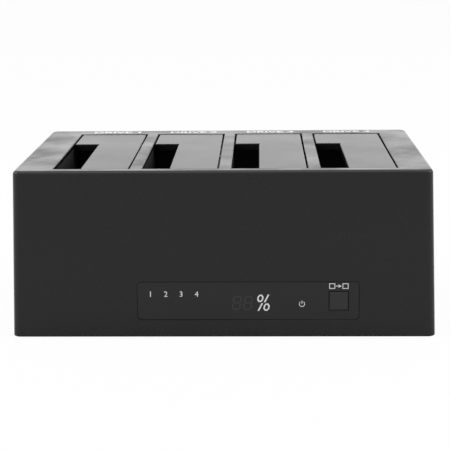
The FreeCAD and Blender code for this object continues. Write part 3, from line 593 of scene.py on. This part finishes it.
moulding("power_coils", "shielded_coils", ferrite, "casing", crease=30)
cans, sleeves = bmesh.new(), bmesh.new()
for low, high in islands("capacitors"):
    foot = Matrix.Translation(((low.x + high.x) / 2, (low.y + high.y) / 2, low.z))
    radius, height = (high.x - low.x) / 2, high.z - low.z
    inner, neck = radius - film, radius - groove_depth
    dish = height - 0.15 * MM
    join(cans, turned([(0, dish), (inner - 0.5 * MM, dish), (inner - 0.35 * MM, height),
                       (inner - 0.15 * MM, height), (inner, height - top_edge), (inner, groove + 0.4 * MM),
                       (neck - 0.1 * MM, groove), (inner, groove - 0.4 * MM), (inner, 0.1 * MM),
                       (0, 0.1 * MM)]), foot)
    outside = [(radius - 0.1 * MM, height), (radius, height - top_edge), (radius, groove + 0.5 * MM),
               (neck, groove), (radius, groove - 0.5 * MM), (radius, 0)]
    inside = [(inner, 0), (inner, groove - 0.5 * MM), (neck - 0.1 * MM, groove),
              (inner, groove + 0.5 * MM), (inner, height - top_edge)]
    lip = (inner - 0.3 * MM, height)
    join(sleeves, turned([lip] + outside + inside + [lip]), foot)
piece_from(cans, "capacitor_cans", can_metal, "casing", "capacitors")
piece_from(sleeves, "capacitor_sleeves", sleeve_film, "casing")

# ---- Parts soldered round the chips ------------------------------------------------------------------
# Ceramic capacitors and resistors with tinned ends, in short rows across the ends of the chips.
ceramic = grained("ceramic", (0.16, 0.10, 0.06), 0.45, grain=0.1 * MM, depth=0.004 * MM, drift=2 * MM,
                  shade_drift=0.3)
part_length, part_width, part_height = 1.6 * MM, 0.8 * MM, 0.6 * MM
end_length, end_rise, end_edge = 0.35 * MM, 0.03 * MM, 0.06 * MM
row_count, row_pitch, row_gap = 4, 2.0 * MM, 2.6 * MM


def soft_block(length, width, height, edge):
    """A block on the board with rounded edges."""
    form = bmesh.new()
    bmesh.ops.create_cube(form, size=1)
    bmesh.ops.scale(form, verts=form.verts, vec=(length, width, height))
    bmesh.ops.translate(form, verts=form.verts, vec=(0, 0, height / 2))
    bmesh.ops.bevel(form, geom=form.edges[:], offset=edge, offset_type="OFFSET", segments=2, profile=0.5,
                    affect="EDGES", material=-1)
    return form


bodies, ends = bmesh.new(), bmesh.new()
for low, high in islands("control_chips"):
    for n in range(row_count):
        x = (low.x + high.x) / 2 + (n - (row_count - 1) / 2) * row_pitch
        place = Matrix.Translation((x, high.y + row_gap, low.z)) @ Matrix.Rotation(math.pi / 2, 4, "Z")
        join(bodies, soft_block(part_length - end_length, part_width, part_height, end_edge / 2), place)
        for side in (-1, 1):
            join(ends, soft_block(end_length, part_width + 0.04 * MM, part_height + end_rise, end_edge),
                 place @ Matrix.Translation((side * (part_length - end_length) / 2, 0, 0)))
piece_from(bodies, "chip_parts", ceramic, "casing", crease=30)
piece_from(ends, "chip_part_ends", tin, "casing", crease=30)

# ---- Lamps, display and the key's switch -------------------------------------------------------------
# What the front board carries behind the lens: clear lamps in a black frame, the display and the switch.
lamp_resin = grained("lamp_resin", (0.55, 0.55, 0.50), 0.25, grain=0.2 * MM, depth=0.002 * MM, drift=1 * MM)
dark_resin = grained("dark_resin", (0.010, 0.010, 0.011), 0.4, grain=0.2 * MM, depth=0.006 * MM)
cover("status_lamps", lamp_resin)
for node in ("lamp_block", "number_display", "copy_switch", "copy_switch_plunger", "power_switch_body"):
    cover(node, dark_resin)

# ---- Front panel -------------------------------------------------------------------------------------
# A smoked acrylic lens, die-cut with a slight roll on its edge and bonded flush in its recess.
lens_acrylic = grained("lens_acrylic", (0.0095, 0.0095, 0.0098), 0.22, grain=0.6 * MM, depth=0.002 * MM,
                       drift=30 * MM, gloss_drift=0.05, shade_drift=0.05, ior=1.38)
lens_roll = 0.12 * MM


def rolled_front(node, roll):
    """A merged copy of a piece whose edges round its front face are rolled over."""
    form = merged_copy(node)
    front = min(v.co.y for v in form.verts)
    rim = [e for e in form.edges if all(v.co.y < front + 0.001 * MM for v in e.verts)
           and e.calc_face_angle(0) > math.radians(30)]
    bmesh.ops.bevel(form, geom=rim, offset=roll, offset_type="OFFSET", segments=2, profile=0.5,
                    affect="EDGES", material=-1)
    return form


moulding("front_panel", "front_lens", lens_acrylic, "casing", crease=60,
         form=rolled_front("front_panel", lens_roll))

# ---- Panel printing ----------------------------------------------------------------------------------
# White screen-printed marks on the lens: a number over each bay's lamp, and the power sign by its lamp.
panel_ink = grained("panel_ink", (0.72, 0.72, 0.71), 0.5, grain=0.12 * MM, depth=0.003 * MM,
                    gloss_drift=0.05, shade_drift=0.04)
lamps = islands("status_lamps")
lens_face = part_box("front_panel")[0].y
number_height, number_over_lamp = 2.7 * MM, 5.95 * MM
power_size, power_stroke = 2.9 * MM, 0.32 * MM


def print_on_lens(target, mark, x, z):
    """Stands a flat mark up in front of the lens."""
    join(target, mark,
         Matrix.Translation((x, lens_face - print_height, z)) @ Matrix.Rotation(math.pi / 2, 4, "X"))


def flat_bar(form, width, height, x=0, y=0):
    """Adds a flat upright rectangle to a bmesh, and gives its corners."""
    bar = bmesh.ops.create_grid(form, x_segments=1, y_segments=1, size=0.5)["verts"]
    bmesh.ops.scale(form, verts=bar, vec=(width, height, 1))
    bmesh.ops.translate(form, verts=bar, vec=(x, y, 0))
    return bar


def power_sign(size, stroke):
    """A ring open at its top, with a bar standing in the gap."""
    form = bmesh.new()
    opening = math.radians(70)
    start = math.pi / 2 + opening / 2
    inner, outer = [form.verts.new((r * math.cos(start), r * math.sin(start), 0))
                    for r in (size / 2 - stroke, size / 2)]
    edge = form.edges.new((inner, outer))
    bmesh.ops.spin(form, geom=[inner, outer, edge], cent=(0, 0, 0), axis=(0, 0, 1),
                   angle=2 * math.pi - opening, steps=28)
    flat_bar(form, stroke, size * 0.52, y=size * 0.30)
    return form


numbers = bmesh.new()
number_lamps = [box for box in lamps if box[0].z < lamps[-1][0].z]
for n, (low, high) in enumerate(number_lamps):
    middle = (low + high) / 2
    print_on_lens(numbers, lettering(str(n + 1), number_height), middle.x, middle.z + number_over_lamp)
power_lamp = (lamps[-1][0] + lamps[-1][1]) / 2
print_on_lens(numbers, power_sign(power_size, power_stroke), power_lamp.x, power_lamp.z)
printed(numbers, "panel_numbers", panel_ink)

# ---- Number display ----------------------------------------------------------------------------------
# Two unlit seven-segment digits that just show through the lens, and the percent sign printed beside them.
unlit_segment = grained("unlit_segment", (0.0108, 0.0108, 0.0108), 0.25, grain=0.2 * MM, depth=0.002 * MM)
display_low, display_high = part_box("number_display")
digit_width, digit_height = 4.2 * MM, 7.1 * MM
first_digit, digit_pitch = 5.5 * MM, 5.4 * MM
segment_width, segment_gap = 0.75 * MM, 0.2 * MM
slant = math.tan(math.radians(8))
percent_x, percent_rise = 18.4 * MM, 0.05 * MM
percent_stroke = 0.68 * MM
ring_width, ring_height = 2.9 * MM, 3.7 * MM
ring_x, ring_y = 1.5 * MM, 2.2 * MM
slash_height, slash_x, slash_y, slash_slant = 3.9 * MM, 0.45 * MM, 2.15 * MM, 0.50


def segment(length):
    """A bar with pointed ends, along X."""
    form = bmesh.new()
    flat_bar(form, length - segment_width, segment_width)
    sides = [e for e in form.edges if abs(e.verts[0].co.x - e.verts[1].co.x) < 1e-7]
    middles = [g for g in bmesh.ops.subdivide_edges(form, edges=sides, cuts=1)["geom_inner"]
               if isinstance(g, bmesh.types.BMVert)]
    for middle in middles:
        middle.co.x += math.copysign(segment_width / 2, middle.co.x)
    return form


def digit():
    """The seven bars of an 8, leaning like a display's."""
    form = bmesh.new()
    half = (digit_height - segment_width) / 2
    side = (digit_width - segment_width) / 2
    for level in (-half, 0, half):
        join(form, segment(2 * side - segment_gap), Matrix.Translation((0, level, 0)))
    for x in (-side, side):
        for y in (-half / 2, half / 2):
            join(form, segment(half - segment_gap),
                 Matrix.Translation((x, y, 0)) @ Matrix.Rotation(math.pi / 2, 4, "Z"))
    for vert in form.verts:
        vert.co.x += slant * vert.co.y
    return form


def hollow(form, stroke):
    """Leaves a border of a flat shape."""
    bmesh.ops.inset_region(form, faces=form.faces[:], thickness=stroke, use_even_offset=True,
                           use_boundary=True)
    inner = [f for f in form.faces if not any(e.is_boundary for e in f.edges)]
    bmesh.ops.delete(form, geom=inner, context="FACES_ONLY")


def percent_sign(stroke):
    """A percent sign in a display's style: two leaning rings, and a bar that is cut through between them."""
    form = bmesh.new()
    for side in (-1, 1):
        ring = bmesh.new()
        bmesh.ops.create_circle(ring, cap_ends=True, segments=8, radius=0.5 / math.cos(math.pi / 8))
        bmesh.ops.rotate(ring, verts=ring.verts, cent=(0, 0, 0), matrix=Matrix.Rotation(math.pi / 8, 3, "Z"))
        bmesh.ops.scale(ring, verts=ring.verts, vec=(ring_width, ring_height, 1))
        hollow(ring, stroke)
        for vert in ring.verts:
            vert.co.x += slant * vert.co.y
        join(form, ring, Matrix.Translation((side * ring_x, -side * ring_y, 0)))
        for vert in flat_bar(form, stroke * 1.15, slash_height, y=side * slash_y):
            vert.co.x += slash_slant * vert.co.y + side * slash_x
    return form


ghosts, percent = bmesh.new(), bmesh.new()
display_z = (display_low.z + display_high.z) / 2
for n in range(2):
    print_on_lens(ghosts, digit(), display_low.x + first_digit + n * digit_pitch, display_z)
printed(ghosts, "display_digits", unlit_segment)
print_on_lens(percent, percent_sign(percent_stroke), display_low.x + percent_x, display_z + percent_rise)
printed(percent, "display_percent", panel_ink)

# ---- Copy key ----------------------------------------------------------------------------------------
# A square satin key a little proud of the lens, with a printed sign over it: one drive into another.
key_plastic = grained("key_plastic", (0.018, 0.018, 0.0185), 0.33, grain=0.2 * MM, depth=0.006 * MM,
                      gloss_drift=0.05, ior=1.38)
drive_width, drive_height, drive_stroke = 2.9 * MM, 2.7 * MM, 0.35 * MM
arrow_length, arrow_height, arrow_stroke = 2.6 * MM, 1.7 * MM, 0.4 * MM
drive_offset, sign_over_key = 3.2 * MM, 2.1 * MM
moulding("copy_button", "copy_key_cap", key_plastic, "copy_key")


def drive_outline():
    """The outline of a drive, as a flat frame."""
    form = bmesh.new()
    flat_bar(form, drive_width, drive_height)
    hollow(form, drive_stroke)
    return form


def arrow():
    """A flat arrow that points to +X."""
    form = bmesh.new()
    flat_bar(form, arrow_length * 0.6, arrow_stroke, x=-arrow_length * 0.2)
    radius = arrow_height / math.sqrt(3)
    head = bmesh.ops.create_circle(form, cap_ends=True, segments=3, radius=radius)["verts"]
    bmesh.ops.rotate(form, verts=head, cent=(0, 0, 0), matrix=Matrix.Rotation(-math.pi / 2, 3, "Z"))
    bmesh.ops.translate(form, verts=head, vec=(arrow_length * 0.5 - radius, 0, 0))
    return form


sign = bmesh.new()
key_low, key_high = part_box("copy_button")
key_x, sign_z = (key_low.x + key_high.x) / 2, key_high.z + sign_over_key
for side in (-1, 1):
    print_on_lens(sign, drive_outline(), key_x + side * drive_offset, sign_z)
print_on_lens(sign, arrow(), key_x, sign_z)
printed(sign, "copy_sign", panel_ink)

# ---- Data socket -------------------------------------------------------------------------------------
# A folded, tin-plated steel shell round a moulded tongue, with gilt contacts on the tongue's two steps.
socket_steel = metal("socket_steel", (0.68, 0.68, 0.67), 0.28, lines=(300, 4000, 4000), tarnish=0.08)
socket_resin = grained("socket_resin", (0.012, 0.045, 0.18), 0.4, grain=0.2 * MM, depth=0.005 * MM,
                       drift=5 * MM)
moulding("usb_socket_shell", "data_socket_shell", socket_steel, "casing", crease=30)
moulding("usb_socket_core", "data_socket_tongue", socket_resin, "casing", crease=30)
shell_low, shell_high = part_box("usb_socket_shell")
socket_x = (shell_low.x + shell_high.x) / 2
contact_length, contact_width, contact_thickness = 5.6 * MM, 0.5 * MM, 0.12 * MM
# For each row of contacts: its height over the shell's foot, how far in from the rear its middle is, the
# width it spreads over, how many contacts it has, and whether they stand on their face or hang from it.
contact_rows = ((2.3 * MM, 4.6 * MM, 5.6 * MM, 2, False), (5.3 * MM, 4.6 * MM, 5.6 * MM, 2, True),
                (7.6 * MM, 5.2 * MM, 4.8 * MM, 5, False))
contacts = bmesh.new()
for height, depth, width, count, stands in contact_rows:
    for n in range(count):
        x = socket_x + ((n + 0.5) / count - 0.5) * width
        z = shell_low.z + height - (0 if stands else contact_thickness)
        join(contacts, soft_block(contact_width, contact_length, contact_thickness, 0.03 * MM),
             Matrix.Translation((x, shell_high.y - depth, z)))
piece_from(contacts, "data_socket_contacts", gilt, "casing", crease=30)

# ---- Power jack and power key ------------------------------------------------------------------------
# A barrel jack with a nickel-plated centre pin, and the round cap of a latching push switch.
moulding("power_jack_housing", "power_jack_body", dark_resin, "casing", crease=30)
nickel = metal("nickel", (0.75, 0.73, 0.69), 0.18, lines=(6000, 300, 6000), tarnish=0.06)
cover("power_jack_pin", nickel)
moulding("power_button", "power_key_cap", key_plastic, "power_key")

# ---- Base and feet -----------------------------------------------------------------------------------
# The base plate with its vents is ABS too. Four turned rubber feet are stuck in place under it.
moulding("base_cover", "base_plate", casing_plastic, "casing")
rubber = grained("rubber", (0.022, 0.022, 0.022), 0.75, grain=0.4 * MM, depth=0.03 * MM, drift=5 * MM)
hollow_depth = 0.25 * MM         # the shallow dish in the middle of a foot
feet = bmesh.new()
for low, high in islands("rubber_feet"):
    radius, height = (high.x - low.x) / 2, high.z - low.z
    join(feet, turned([(0, hollow_depth), (radius - 2.2 * MM, hollow_depth), (radius - 1.9 * MM, 0),
                       (radius - 0.9 * MM, 0), (radius - 0.6 * MM, 0.1 * MM), (radius - 0.4 * MM, 0.3 * MM),
                       (radius, height), (0, height)], steps=40),
         Matrix.Translation(((low.x + high.x) / 2, (low.y + high.y) / 2, low.z)))
piece_from(feet, "rubber_foot_set", rubber, "casing", "rubber_feet", crease=50)

# ---- Screws ------------------------------------------------------------------------------------------
# Pan head thread-forming screws with cross recesses: black in the base, zinc-plated inside.
black_zinc = metal("black_zinc", (0.045, 0.045, 0.048), 0.32, tarnish=0.3)
bright_zinc = metal("bright_zinc", (0.62, 0.62, 0.60), 0.28, tarnish=0.15)
head_height = 1.5 * MM
head_curve = ((0, 1), (0.45, 0.98), (0.75, 0.82), (0.93, 0.55), (1, 0.2), (0.97, 0))   # shares of the head
shank_radius, core_share = 1.2 * MM, 0.8
thread_pitch = 0.6 * MM
recess_depth = 0.9 * MM


def solid_holder(form):
    """A loose object that holds a bmesh for a cut."""
    return in_scene("holder", mesh_from(form, "holder"))


def carved(form, tools):
    """A bmesh with other bmeshes cut out of it."""
    body = solid_holder(form)
    cutters = [solid_holder(tool) for tool in tools]
    for cutter in cutters:
        cut = body.modifiers.new("cut", "BOOLEAN")
        cut.operation = "DIFFERENCE"
        cut.solver = "EXACT"
        cut.object = cutter
    mesh = finished_mesh(body)
    result = bmesh.new()
    result.from_mesh(mesh)
    for holder in [body] + cutters:
        old = holder.data
        bpy.data.objects.remove(holder)
        bpy.data.meshes.remove(old)
    bpy.data.meshes.remove(mesh)
    return result


def screw(radius, length):
    """A screw along Z whose head's underside is at 0, with its shank below and its head above."""
    core = shank_radius * core_share
    profile = [(radius * out, head_height * up) for out, up in head_curve] + [(core, 0)]
    for n in range(int((length - head_height) / thread_pitch)):
        z = -(n + 0.5) * thread_pitch
        profile += [(core, z), (shank_radius, z - 0.15 * MM), (core, z - thread_pitch / 2)]
    profile += [(0.3 * MM, head_height - length), (0, head_height - length)]
    cross = []
    for turn in (0, math.pi / 2):
        arm = bmesh.new()
        bmesh.ops.create_cube(arm, size=1)
        bmesh.ops.scale(arm, verts=arm.verts, vec=(radius * 1.15, radius * 0.24, 2 * recess_depth))
        foot = [v for v in arm.verts if v.co.z < 0]
        bmesh.ops.scale(arm, verts=foot, vec=(0.45, 0.6, 1))
        bmesh.ops.rotate(arm, verts=arm.verts, cent=(0, 0, 0), matrix=Matrix.Rotation(turn, 3, "Z"))
        bmesh.ops.translate(arm, verts=arm.verts, vec=(0, 0, head_height))
        cross.append(arm)
    return carved(turned(profile, steps=24), cross)


for node, name, material, head_down in (("base_screws", "base_screw_set", black_zinc, True),
                                        ("well_screws", "well_screw_set", bright_zinc, True),
                                        ("board_screws", "board_screw_set", bright_zinc, False)):
    screws = bmesh.new()
    for low, high in islands(node):
        x, y = (low.x + high.x) / 2, (low.y + high.y) / 2
        seat = Matrix.Translation((x, y, high.z - head_height))
        if head_down:
            seat = Matrix.Translation((x, y, low.z + head_height)) @ Matrix.Rotation(math.pi, 4, "X")
        join(screws, screw((high.x - low.x) / 2, high.z - low.z), seat)
    piece_from(screws, name, material, "casing", node, crease=35)

# ---- Table, light and camera -------------------------------------------------------------------------
# A pale table under plain soft studio lamps, with a white surround, and the camera before the front.


def table_material():
    """Matt pale paper that the camera sees as nearly white, with the object's shadow on it."""
    material = plain("table_paper", (0.74, 0.74, 0.74), 0.9)
    tree = material.node_tree
    surface = tree.nodes["Principled BSDF"]
    surface.inputs["Specular IOR Level"].default_value = 0.1
    seen = tree.nodes.new("ShaderNodeLightPath").outputs["Is Camera Ray"]
    mix = tree.nodes.new("ShaderNodeMixShader")
    feed(tree, mix.inputs[0], maths(tree, "MULTIPLY", seen, 0.96))
    feed(tree, mix.inputs[1], surface.outputs[0])
    feed(tree, mix.inputs[2], tree.nodes.new("ShaderNodeEmission").outputs[0])
    feed(tree, tree.nodes["Material Output"].inputs["Surface"], mix.outputs[0])
    return material


table_form = bmesh.new()
bmesh.ops.create_grid(table_form, x_segments=1, y_segments=1, size=6)
table_mesh = mesh_from(table_form, "table")
table_mesh.materials.append(table_material())
in_scene("table", table_mesh)

world = bpy.data.worlds.new("studio")
bpy.context.scene.world = world
world.use_nodes = True
around = world.node_tree
path = around.nodes.new("ShaderNodeLightPath").outputs
seen = path["Is Camera Ray"]
for ray in ("Is Glossy Ray", "Is Transmission Ray"):
    seen = maths(around, "MAXIMUM", seen, path[ray])
level = around.nodes.new("ShaderNodeMapRange")
level.inputs["To Min"].default_value = 0.65      # the light that it gives
level.inputs["To Max"].default_value = 1.0       # as it is seen, straight or in a gloss
feed(around, level.inputs["Value"], seen)
feed(around, around.nodes["Background"].inputs["Strength"], level.outputs["Result"])
around.nodes["Background"].inputs["Color"].default_value = (1, 1, 1, 1)


def soft_lamp(name, place, aim, width, height, power):
    """A rectangular lamp in watts that the camera doesn't see, turned to its aim."""
    lamp = bpy.data.lights.new(name, "AREA")
    lamp.shape = "RECTANGLE"
    lamp.size, lamp.size_y = width, height
    lamp.energy = power
    holder = in_scene(name, lamp)
    holder.location = place
    holder.rotation_euler = (Vector(aim) - Vector(place)).to_track_quat("-Z", "Y").to_euler()
    holder.visible_camera = False


soft_lamp("overhead", (0.1, -0.3, 1.3), (0, 0, 0.05), 1.2, 1.0, 6)
soft_lamp("left_side", (-0.9, -0.1, 0.6), (-0.35, 0, 0), 0.5, 0.7, 3.5)
soft_lamp("right_side", (0.9, -0.1, 0.6), (0.35, 0, 0), 0.5, 0.7, 3.5)
soft_lamp("behind", (0, 1.5, 0.33), (0, 0, 0.083), 3.0, 0.5, 1.6)

camera_data = bpy.data.cameras.new("camera")
camera_data.sensor_width = 36
camera_data.lens = 105.42
camera_data.clip_start = 0.01
camera = in_scene("camera", camera_data)
turn, tilt, lean = math.radians(1.603), math.radians(90 - 12.636), math.radians(-0.536)
camera.matrix_world = (Matrix.Translation((0.01843, -0.67794, 0.19445)) @ Matrix.Rotation(turn, 4, "Z")
                       @ Matrix.Rotation(tilt, 4, "X") @ Matrix.Rotation(lean, 4, "Z"))
bpy.context.scene.camera = camera
bpy.context.scene.view_settings.view_transform = "Standard"
